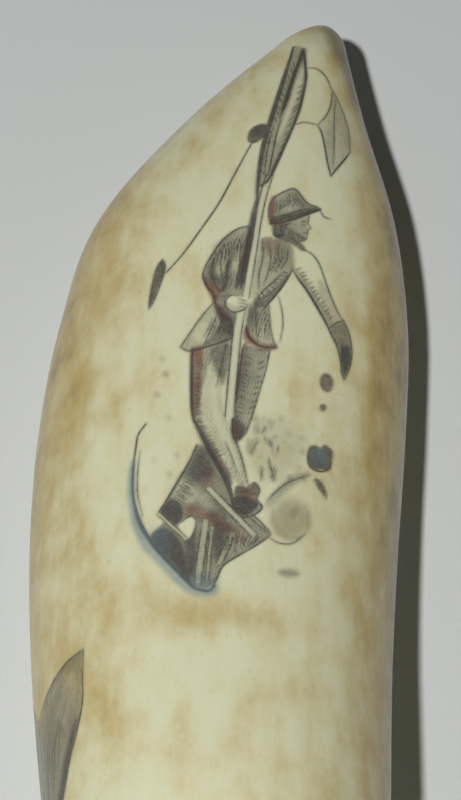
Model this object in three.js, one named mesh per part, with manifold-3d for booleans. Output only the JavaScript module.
// A whale tooth, the blank of a piece of scrimshaw, lying on its belly.
// The root end is sawn flat and open to the hollow pulp cavity; the crown leans to one side
// and ends in a blunt, worn tip.
// Millimetres, +Z up, +Y from the root to the tip. The origin is on the resting surface,
// under the middle of the tooth.
import * as THREE from "three";
import { LoftGeometry } from "three/addons/geometries/LoftGeometry.js";
import { mergeVertices } from "three/addons/utils/BufferGeometryUtils.js";
import Module from "manifold-3d";

const toothLength = 160; // sawn root end to worn tip
const rootEdge = 1.6; // radius of the rounded edge round the sawn end
const tipRounding = 4.5; // length over which the tip rounds off
const pulpDepth = 56; // how far the hollow reaches in from the root end
const rootWall = 6.5; // thickness of the wall round the hollow's mouth
const fullness = 2.2; // 2 is an ellipse, more is squarer shoulders on each section
const pulpRounding = 1.35; // 1 is a straight cone, more is a rounder-sided hollow
const pulpEnd = 0.06; // blunt end of the hollow, as a share of its mouth

const sidesAround = 44; // faces round the outside
const edgeRows = 3; // rows of faces over the rounded edge of the root end
const bodyRows = 32; // rows of faces along the body
const tipRows = 8; // rows of faces over the rounded tip
const tipTurn = (80 * Math.PI) / 180; // how far round the tip the last ring lies
const pulpSides = 26;
const pulpRows = 9;

// The lines of the tooth, like a boat's, at even distances from the root end to the tip:
// how far it reaches to the left, to the right, down and up. Where it would reach below
// the resting surface, the belly is flat.
const stations = [
  { left: -26.2, right: 24.2, under: 5.8, top: 51.2 },
  { left: -29.4, right: 25, under: 2.2, top: 50 },
  { left: -31.8, right: 26, under: -0.5, top: 47 },
  { left: -33, right: 27.6, under: -1.2, top: 43.8 },
  { left: -32.4, right: 29.5, under: -1.1, top: 41.2 },
  { left: -29.5, right: 30.6, under: -0.2, top: 39 },
  { left: -23.4, right: 28.9, under: 3, top: 36.2 },
  { left: -7.6, right: 24, under: 8.6, top: 31.4 },
  { left: 13.4, right: 20, under: 16.2, top: 24.2 },
];

const cutterDepth = 20; // depth of the block that planes the belly flat
const cutterWidth = 120; // wider than the tooth

const ivory = new THREE.MeshStandardMaterial({ name: "ivory", color: 0xe6dbb4, roughness: 0.42 });

// One smooth curve along the left and lower sides, and one along the right and upper sides.
const leftAndUnder = new THREE.CatmullRomCurve3(
  stations.map((s) => new THREE.Vector3(s.left, 0, s.under)), false, "catmullrom",
);
const rightAndTop = new THREE.CatmullRomCurve3(
  stations.map((s) => new THREE.Vector3(s.right, 0, s.top)), false, "catmullrom",
);

// Centre and half sizes of the cross-section at a distance from the root end.
function sectionAt(along) {
  const low = leftAndUnder.getPoint(along / toothLength);
  const high = rightAndTop.getPoint(along / toothLength);
  return {
    centre: new THREE.Vector3((low.x + high.x) / 2, along, (low.z + high.z) / 2),
    halfWidth: (high.x - low.x) / 2,
    halfHeight: (high.z - low.z) / 2,
  };
}

// A ring of points round a section, clockwise seen from the tip.
function ring({ centre, halfWidth, halfHeight }, sides) {
  const points = [];
  for (let side = 0; side < sides; side++) {
    const angle = (-2 * Math.PI * side) / sides;
    const across = Math.cos(angle);
    const up = Math.sin(angle);
    points.push(new THREE.Vector3(
      centre.x + halfWidth * Math.sign(across) * Math.abs(across) ** (2 / fullness),
      centre.y,
      centre.z + halfHeight * Math.sign(up) * Math.abs(up) ** (2 / fullness),
    ));
  }
  return points;
}

// The outside: a quarter-round edge at the root end, the body, and an oval cap at the tip.
function outerShape() {
  const sections = [];
  for (let row = 0; row < edgeRows; row++) {
    const turn = (Math.PI / 2) * (row / edgeRows);
    const section = sectionAt(rootEdge * (1 - Math.cos(turn)));
    section.halfWidth -= rootEdge * (1 - Math.sin(turn));
    section.halfHeight -= rootEdge * (1 - Math.sin(turn));
    sections.push(section);
  }
  const bodyEnd = toothLength - tipRounding;
  for (let row = 0; row < bodyRows; row++) {
    sections.push(sectionAt(rootEdge + ((bodyEnd - rootEdge) * row) / bodyRows));
  }
  for (let row = 0; row <= tipRows; row++) {
    const turn = (tipTurn * row) / tipRows;
    const section = sectionAt(bodyEnd + (tipRounding * Math.sin(turn)) / Math.sin(tipTurn));
    section.halfWidth *= Math.cos(turn);
    section.halfHeight *= Math.cos(turn);
    sections.push(section);
  }
  const rings = sections.map((section) => ring(section, sidesAround));
  return new LoftGeometry(rings, { capStart: true, capEnd: true });
}

// The hollow narrows from the root end to a blunt end inside, along the tooth's own bend.
function pulpCavity() {
  const mouth = sectionAt(0);
  const rings = [];
  for (let row = 0; row <= pulpRows; row++) {
    const share = row / pulpRows;
    const taper = 1 - (1 - pulpEnd) * share ** pulpRounding;
    rings.push(ring({
      centre: sectionAt(pulpDepth * share).centre,
      halfWidth: (mouth.halfWidth - rootWall) * taper,
      halfHeight: (mouth.halfHeight - rootWall) * taper,
    }, pulpSides));
  }
  const beyondMouth = rings[0].map((point) => point.clone().setY(-cutterDepth));
  return new LoftGeometry([beyondMouth, ...rings], { capStart: true, capEnd: true });
}

// Planes the belly flat at z = 0, so that the tooth lies without rolling.
function bellyCutter() {
  const block = new THREE.BoxGeometry(cutterWidth, 2 * toothLength, cutterDepth);
  return block.translate(0, toothLength / 2, -cutterDepth / 2);
}

const wasm = await Module();
wasm.setup();

function solidOf(shape) {
  const bare = new THREE.BufferGeometry();
  bare.setAttribute("position", shape.getAttribute("position"));
  bare.setIndex(shape.getIndex());
  const merged = mergeVertices(bare);
  return new wasm.Manifold(new wasm.Mesh({
    numProp: 3,
    vertProperties: merged.attributes.position.array,
    triVerts: new Uint32Array(merged.index.array),
  }));
}

function geometryOf(solid) {
  const mesh = solid.getMesh();
  const geometry = new THREE.BufferGeometry();
  geometry.setAttribute("position", new THREE.BufferAttribute(mesh.vertProperties, 3));
  geometry.setIndex(new THREE.BufferAttribute(mesh.triVerts, 1));
  return geometry;
}

function makeTooth() {
  const solid = solidOf(outerShape())
    .subtract(solidOf(pulpCavity()))
    .subtract(solidOf(bellyCutter()));
  const geometry = geometryOf(solid);
  geometry.computeBoundingBox();
  const middle = geometry.boundingBox.getCenter(new THREE.Vector3());
  geometry.translate(-middle.x, -middle.y, 0);
  geometry.computeVertexNormals();
  const tooth = new THREE.Mesh(geometry, ivory);
  tooth.name = "tooth";
  return tooth;
}

const scrimshawTooth = new THREE.Group();
scrimshawTooth.add(makeTooth());

export default scrimshawTooth;
